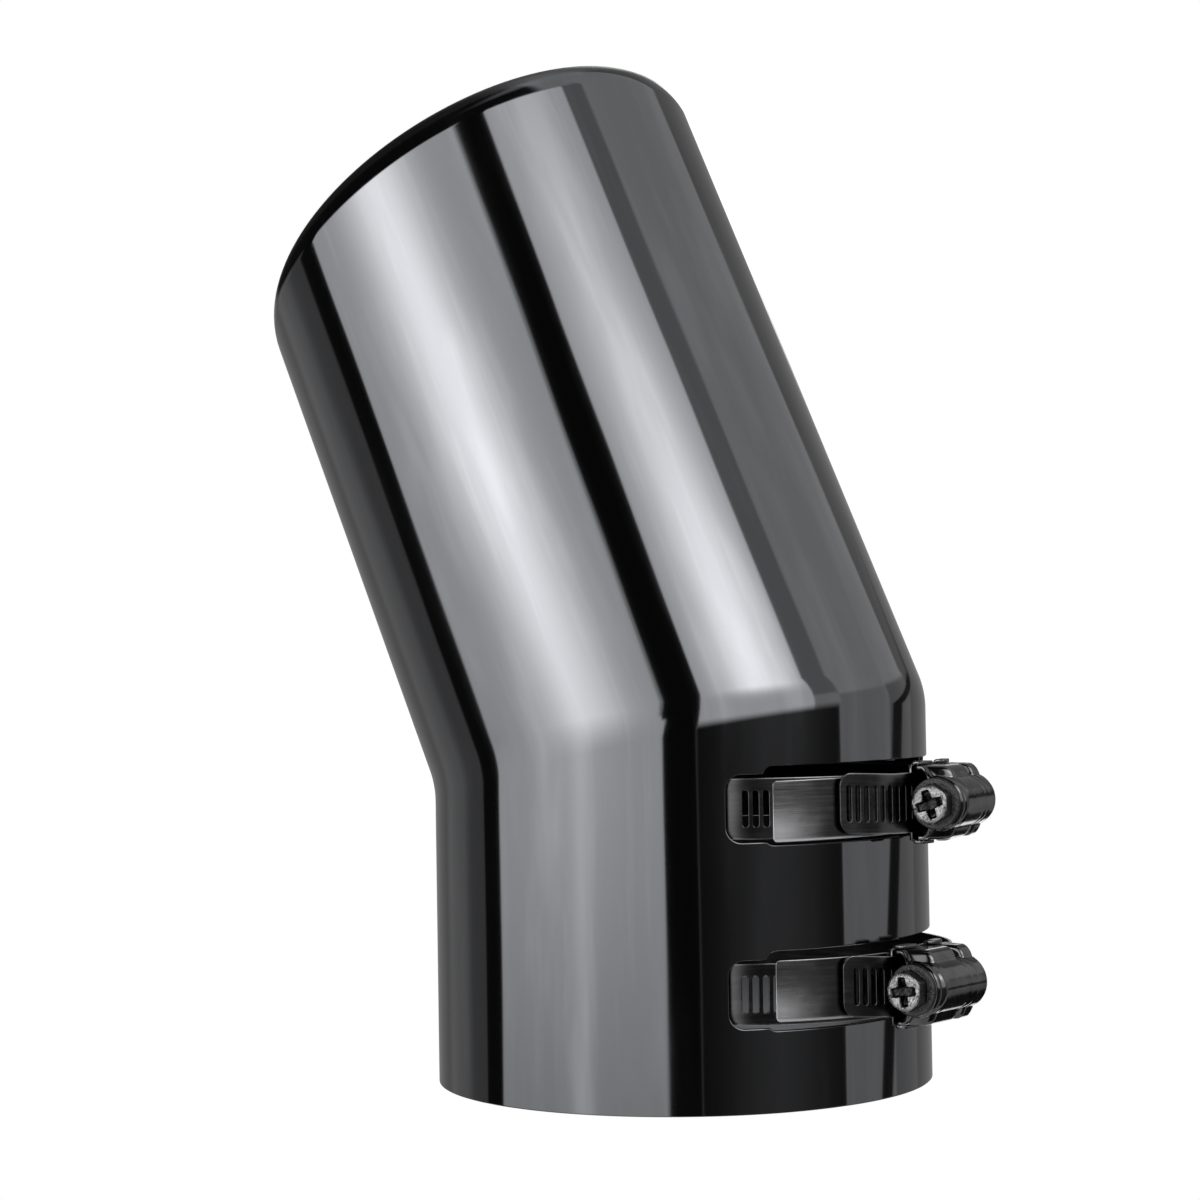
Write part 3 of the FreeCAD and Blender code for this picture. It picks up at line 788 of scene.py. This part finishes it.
class Net:
    """A node tree that is built by expressions."""

    def __init__(self, tree):
        self.tree = tree
        tree.nodes.clear()

    def add(self, kind, settings, values=(), output=0):
        """Adds a node, sets its settings, then its sockets by place or name, and gives one output."""
        node = self.tree.nodes.new(kind)
        for key, value in settings.items():
            setattr(node, key, value)
        pairs = values.items() if isinstance(values, dict) else enumerate(values)
        for key, value in pairs:
            if isinstance(value, Wire):
                self.tree.links.new(value.socket, node.inputs[key])
            else:
                node.inputs[key].default_value = value
        return Wire(self, node.outputs[output]) if len(node.outputs) else None

    def noise(self, vector, scale, detail=3.0, roughness=0.55):
        """Fractal noise, 0 to 1, about 0.5."""
        return self.add("ShaderNodeTexNoise", {}, {"Vector": vector, "Scale": scale, "Detail": detail,
                                                  "Roughness": roughness})

    def stretch(self, vector, scale):
        """A vector times a scale for each axis."""
        return self.add("ShaderNodeVectorMath", {"operation": "MULTIPLY"}, (vector, scale))

    def tint(self, factor, low, high):
        """A colour between two colours."""
        return self.add("ShaderNodeMix", {"data_type": "RGBA"},
                        {"Factor": factor, 6: (*low, 1.0), 7: (*high, 1.0)}, output=2)

    def bump(self, height, strength, distance):
        """A normal bent by a height."""
        return self.add("ShaderNodeBump", {}, {"Strength": strength, "Distance": distance, "Height": height})


def plated(name, colour, roughness, detail):
    """A metal of one reflectance whose colour, roughness and bump come from a detail function of
    the coordinates laid along the piece's own surface."""
    material = bpy.data.materials.new(name)
    material.use_nodes = True
    net = Net(material.node_tree)
    place = net.add("ShaderNodeAttribute", {"attribute_name": "flow"}, output=1)
    tint, rough, normal = detail(net, place, colour, roughness)
    shader = net.add("ShaderNodeBsdfPrincipled", {},
                     {"Base Color": tint, "Metallic": 1.0, "Roughness": rough, "Normal": normal})
    net.add("ShaderNodeOutputMaterial", {}, {"Surface": shader})
    return material


def shade(colour, factor):
    """A colour times a number."""
    return tuple(c * factor for c in colour)


def tube_detail(net, place, colour, roughness):
    """Polished black chrome: soft cloudy streaks along the tube from the polishing wheel, a fine
    drift of the film's tone, and a faint waviness of the wall. The bore is rougher, and its colour
    is darkened as painted shade inside the tube."""
    long_way = net.stretch(place, (1.0, 1.0, 0.16))
    clouds = net.noise(long_way, 90.0, 3.0)
    threads = net.noise(net.stretch(place, (1.0, 1.0, 0.05)), 420.0, 2.0)
    fine = net.noise(place, 2600.0, 2.0)
    haze = (clouds.step(0.45, 0.75) * 0.7 + threads.step(0.5, 0.8) * 0.3).clip()
    spot = net.add("ShaderNodeSeparateXYZ", {}, (place,))
    across = net.add("ShaderNodeSeparateXYZ", {}, (place,), output=1)
    # the bore: its colour is darkened as painted shade inside the tube, and it is made rougher
    inner = 1 - (spot * spot + across * across).step(0.0500 ** 2, 0.0504 ** 2)
    tint = net.tint((haze * 0.55 + 0.45) * (1 - inner * 0.75), shade(colour, 0.6), shade(colour, 1.18))
    rough = haze * 0.05 + fine * 0.015 + inner * 0.25 + roughness
    waves = net.noise(net.stretch(place, (1.0, 1.0, 0.35)), 38.0, 1.0)
    return tint, rough, net.bump(waves + threads * 0.02, 0.08, 0.002)


def strip_detail(net, place, colour, roughness):
    """Black plated spring steel: fine rolling lines along the strip and a little grain, with painted
    highlights: lighter near the free end, most on its lower half and lower margin, and along both long
    edges.
    """
    lines = net.noise(net.stretch(place, (0.06, 1.0, 1.0)), 1400.0, 2.0)
    cloud = net.noise(place, 160.0, 3.0)
    length = net.add("ShaderNodeSeparateXYZ", {}, (place,))
    width = net.add("ShaderNodeSeparateXYZ", {}, (place,), output=1)
    # painted highlight near the strip's free end, strongest on its lower half; it also roughens the strip
    # there
    low = 1 - width.step(-0.0050, 0.0045) * 0.75
    lap_highlight = (1 - length.step(0.0005, 0.0115)) * low * (cloud * 0.5 + 0.7)
    # painted highlight along both long edges of the strip
    rim = (width * width).step(0.0054 ** 2, 0.00575 ** 2) * 0.5
    # painted highlight along the lower margin near the free end
    lap_highlight = lap_highlight + (1 - width.step(-0.00565, -0.0051)) * (1 - length.step(0.012, 0.022))
    factor = ((lines * 0.5 + cloud * 0.5).step(0.4, 0.7) * 0.08 + lap_highlight + rim).clip()
    tint = net.tint(factor, shade(colour, 0.8), shade(colour, 6.0))
    rough = cloud * 0.10 + lines * 0.06 + lap_highlight * 0.16 + roughness
    return tint, rough, net.bump(lines, 0.06, 0.0003)


def pressed_detail(net, place, colour, roughness):
    """Black plated pressing: faint draw marks round the barrel, grain and a lighter bloom here and there."""
    grain = net.noise(place, 900.0, 3.0)
    cloud = net.noise(place, 210.0, 2.0)
    tint = net.tint(cloud.step(0.35, 0.7), shade(colour, 0.8), shade(colour, 1.2))
    rough = cloud * 0.08 + grain * 0.06 + roughness
    return tint, rough, net.bump(cloud + grain * 0.15, 0.12, 0.0004)


def cast_detail(net, place, colour, roughness):
    """Screw steel: the struck face of the head shows speckled wear, and everything behind the face, the
    cross too, is darkened to 0.12 of the colour, a painted shade on the flange, the hex's sides and in the
    cross. The face is told by its place along the screw."""
    grain = net.noise(place, 2200.0, 4.0, 0.7)
    blotch = net.noise(place, 520.0, 2.0)
    length = net.add("ShaderNodeSeparateXYZ", {}, (place,))
    face = length.step(0.01322, 0.01340) * (grain * 0.6 + blotch * 0.4).step(0.36, 0.56)
    # painted shade: all but the face's speckles, the flange, the hex's sides and the cross, is darkened
    tint = net.tint(face, shade(colour, 0.12), colour)
    rough = grain * 0.2 + face * 0.08 + roughness
    return tint, rough, net.bump(grain * 0.7 + blotch * 0.6, 0.55, 0.0004)


# Operators

def dress(piece, material):
    """Gives a piece its one material."""
    piece.data.materials.clear()
    piece.data.materials.append(material)


class EXTIP_OT_tube(bpy.types.Operator):
    """Builds the bent tube with its rolled lip and windows"""
    bl_idname = "exhaust_tip.tube"
    bl_label = "Build tube"

    def execute(self, context):
        sizes = context.scene.tip_tube
        piece = weld("tube", tube_patches(sizes))
        dress(piece, plated("black_chrome", context.scene.tip_finish.tube, 0.05, tube_detail))
        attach(piece, "tip")
        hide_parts("tip_shell")
        return {"FINISHED"}


class EXTIP_OT_bands(bpy.types.Operator):
    """Builds the two perforated clamp strips"""
    bl_idname = "exhaust_tip.bands"
    bl_label = "Build clamp bands"

    def execute(self, context):
        material = plated("black_strip", context.scene.tip_finish.strip, 0.12, strip_detail)
        for level in LEVELS:
            piece = weld(level + "_strip", band_patches(level, context.scene.tip_clamp))
            dress(piece, material)
            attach(piece, level + "_clamp")
            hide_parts(level + "_clamp_band")
        return {"FINISHED"}


class EXTIP_OT_housings(bpy.types.Operator):
    """Builds the pressed hoods and their saddles"""
    bl_idname = "exhaust_tip.housings"
    bl_label = "Build clamp housings"

    def execute(self, context):
        sizes = context.scene.tip_clamp
        pressed = plated("black_pressing", context.scene.tip_finish.strip, 0.05, pressed_detail)
        for level in LEVELS:
            for name, patches in (("hood", hood_patches()), ("saddle", saddle_patches())):
                piece = weld(level + "_" + name, to_clamp(patches, level, sizes))
                dress(piece, pressed)
                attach(piece, level + "_clamp")
                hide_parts(level + "_clamp_" + name)
        return {"FINISHED"}


class EXTIP_OT_screws(bpy.types.Operator):
    """Builds the two worm screws with their cross-recessed heads"""
    bl_idname = "exhaust_tip.screws"
    bl_label = "Build worm screws"

    def execute(self, context):
        cast = plated("dark_screw", context.scene.tip_finish.screw, 0.18, cast_detail)
        for level in LEVELS:
            patches = to_clamp(screw_patches(CROSS_TURN[level]), level, context.scene.tip_clamp)
            piece = weld(level + "_screw_piece", patches)
            dress(piece, cast)
            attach(piece, level + "_screw")
            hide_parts(level + "_worm_screw")
        return {"FINISHED"}


def studio_world(world):
    """White surround with soft boxes and black flags laid out by direction: azimuth is measured
    from the camera's side of the object, plus to its right, and elevation from the horizon."""
    world.use_nodes = True
    net = Net(world.node_tree)
    way = net.add("ShaderNodeTexCoord", {}, output=0)
    side = math.radians(-56.1)

    def along(x, y, z):
        return net.add("ShaderNodeVectorMath", {"operation": "DOT_PRODUCT"}, (way, (x, y, z)), output=1)

    front = along(math.cos(side), math.sin(side), 0)
    right = along(-math.sin(side), math.cos(side), 0)
    azimuth = net.add("ShaderNodeMath", {"operation": "ARCTAN2"}, (right, front)) * math.degrees(1)
    rise = net.add("ShaderNodeMath", {"operation": "ARCSINE"}, (along(0, 0, 1),)) * math.degrees(1)

    def lay(light, strength, mask):
        """Mixes a strength, even or varying, into the light so far where the mask is 1."""
        return light + (strength - light) * mask

    def card(light, az, el, soft, strength):
        """Lays a soft-edged rectangle, given by its ranges of azimuth and elevation."""
        return lay(light, strength, azimuth.band(*az, soft[0]) * rise.band(*el, soft[1]))

    def spot(az, el, wide, high):
        """A bell of light: e to the minus half the squared distance."""
        far = ((azimuth - az) / wide) ** 2.0 + ((rise - el) / high) ** 2.0
        return math.e ** (far * -0.5)

    # the dim back of the room, and the right side with its leaning dark line
    light = card(1.0, (-181, -101), (-60, 60), (1.5, 5), 0.25)
    light = card(light, (-133, -121), (-40, 50), (9, 5), 0.42)
    light = card(light, (135, 182), (-60, 60), (6, 5), 0.28)
    light = card(light, (80, 112), (-45, 12), (2, 5), 0.72)
    light = card(light, (114, 134), (-45, 14), (2, 5), 0.42)
    light = lay(light, 0.04, (azimuth - rise * 1.8).band(118.5, 126.0, 1.5) * rise.band(-45, 10, 5))
    light = card(light, (80, 136), (16, 60), (1.0, 4), 1.12 - (azimuth - 80.0) * 0.006)
    light = card(light, (-102.5, -90), (-60, 60), (0.7, 5), 0.02)
    # the large box on the left, with its bright spots
    glow = spot(-50.0, 16.0, 14.0, 9.0) * 5.0 + rise.step(-13.0, -2.0) * 0.9
    glow = glow + spot(-46.0, -4.0, 3.5, 12.0) * 0.7 + 1.35
    light = card(light, (-91, -8.5), (-30, 12), (1.4, 2), glow)
    light = card(light, (-91, -11.5), (12, 44), (1.2, 2), glow)
    # the box on the right, dark below, and the black flag in front
    light = card(light, (78, 79), (16, 50), (1.0, 4), 0.9)
    light = card(light, (64, 78), (18, 50), (1.5, 4), 0.6)
    glow = spot(38.0, 36.0, 13.0, 6.0) * 5.0 + 2.4
    light = card(light, (8, 63), (2, 50), (1.2, 4), glow)
    light = card(light, (8, 78), (-60, -1), (1.0, 9), spot(45.0, -2.0, 16.0, 30.0) * 0.15 + 0.025)
    light = card(light, (-7, 7), (-60, 58), (1.0, 3), 0.015)
    light = card(light, (-9, -6), (12, 58), (1.0, 3), 0.015)

    # a dark cap about the axis of the upper run, which leans 24 degrees: the lip reflects it
    tilt = math.radians(24)
    beyond = along(-math.sin(tilt), 0, math.cos(tilt))
    lean = net.add("ShaderNodeMath", {"operation": "ARCSINE"}, (beyond,)) * math.degrees(1)
    tone = lean.step(48.0, 56.0) * azimuth.step(-40.0, 10.0) * 0.45 + 0.02
    light = light + (tone - light) * lean.step(27.0, 31.0) * azimuth.band(-150, 40, 14)
    light = card(light, (120, 158), (-60, -19), (3, 2), 0.02)
    light = card(light, (160, 182), (-40, -12), (4, 2), 1.6)
    light = card(light, (171, 182), (11, 40), (3, 3), 1.6)
    rays = net.tree.nodes.new("ShaderNodeLightPath")
    glossy = Wire(net, rays.outputs["Is Glossy Ray"])
    strength = 1.0 + glossy * (light - 1.0)
    background = net.add("ShaderNodeBackground", {}, {"Color": (1, 1, 1, 1), "Strength": strength})
    net.add("ShaderNodeOutputWorld", {}, {"Surface": background})


def floor_material():
    """White floor: diffuse white under the plain surround, lifted a little so that it renders as
    clear white."""
    material = bpy.data.materials.new("studio_floor")
    material.use_nodes = True
    net = Net(material.node_tree)
    matt = net.add("ShaderNodeBsdfDiffuse", {}, {"Color": (0.9, 0.9, 0.9, 1)})
    glow = net.add("ShaderNodeEmission", {}, {"Color": (1, 1, 1, 1), "Strength": 0.14})
    both = net.add("ShaderNodeAddShader", {}, (matt, glow))
    net.add("ShaderNodeOutputMaterial", {}, {"Surface": both})
    return material


class EXTIP_OT_stage(bpy.types.Operator):
    """Sets the floor, the studio light and the camera"""
    bl_idname = "exhaust_tip.stage"
    bl_label = "Set the studio"

    def execute(self, context):
        scene = context.scene
        # the floor is a flat ring from 1 m to 12 m out, and none of it lies under the object
        rows, columns = 12, 96
        angle = np.linspace(0, 2 * math.pi, columns + 1)[:-1]
        radius = np.linspace(1.0, 12.0, rows)[:, None]
        flat = np.stack([radius * np.cos(angle), radius * np.sin(angle), 0 * radius * angle - 0.0001], -1)
        mesh = bpy.data.meshes.new("floor")
        mesh.from_pydata(flat.reshape(-1, 3).tolist(), [], grid_quads(rows, columns, True).tolist())
        floor = bpy.data.objects.new("floor", mesh)
        scene.collection.objects.link(floor)
        mesh.materials.append(floor_material())
        floor.visible_glossy = False
        world = bpy.data.worlds.new("studio")
        scene.world = world
        studio_world(world)
        scene.view_settings.view_transform = "Standard"
        yaw, pitch, roll = (math.radians(v) for v in CAMERA_AIM)
        flat_way = math.cos(pitch)
        ahead = np.array([math.sin(yaw) * flat_way, math.cos(yaw) * flat_way, -math.sin(pitch)])
        level = np.array([math.cos(yaw), -math.sin(yaw), 0])
        above = np.cross(level, ahead)
        across = math.cos(roll) * level + math.sin(roll) * above
        upward = -math.sin(roll) * level + math.cos(roll) * above
        swing = Matrix.Rotation(math.radians(CAMERA_SWING), 4, "Z")
        pose = Matrix(np.column_stack([across, upward, -ahead]).tolist()).to_4x4()
        lens = bpy.data.cameras.new("camera")
        lens.sensor_width, lens.lens = 36.0, CAMERA_LENS
        lens.clip_start, lens.clip_end = 0.01, 50.0
        camera = bpy.data.objects.new("camera", lens)
        camera.matrix_world = Matrix.Translation(CAMERA_AT) @ swing @ pose
        scene.collection.objects.link(camera)
        scene.camera = camera
        return {"FINISHED"}


class EXTIP_PT_panel(bpy.types.Panel):
    """Lists the pieces of the exhaust tip"""
    bl_idname = "EXTIP_PT_panel"
    bl_label = "Exhaust tip"
    bl_space_type = "VIEW_3D"
    bl_region_type = "UI"
    bl_category = "Exhaust tip"

    def draw(self, context):
        for step in STEPS:
            self.layout.operator(step.bl_idname)


STEPS = (EXTIP_OT_tube, EXTIP_OT_bands, EXTIP_OT_housings, EXTIP_OT_screws, EXTIP_OT_stage)
GROUPS = {"tip_tube": TubeSizes, "tip_clamp": ClampSizes, "tip_finish": Finish}


def register():
    for kind in (*GROUPS.values(), *STEPS, EXTIP_PT_panel):
        bpy.utils.register_class(kind)
    for name, kind in GROUPS.items():
        setattr(bpy.types.Scene, name, PointerProperty(type=kind))


def unregister():
    for name in GROUPS:
        delattr(bpy.types.Scene, name)
    for kind in (EXTIP_PT_panel, *reversed(STEPS), *reversed(list(GROUPS.values()))):
        bpy.utils.unregister_class(kind)


def main():
    register()
    for step in STEPS:
        group, name = step.bl_idname.split(".")
        getattr(getattr(bpy.ops, group), name)()


if __name__ == "__main__":
    main()
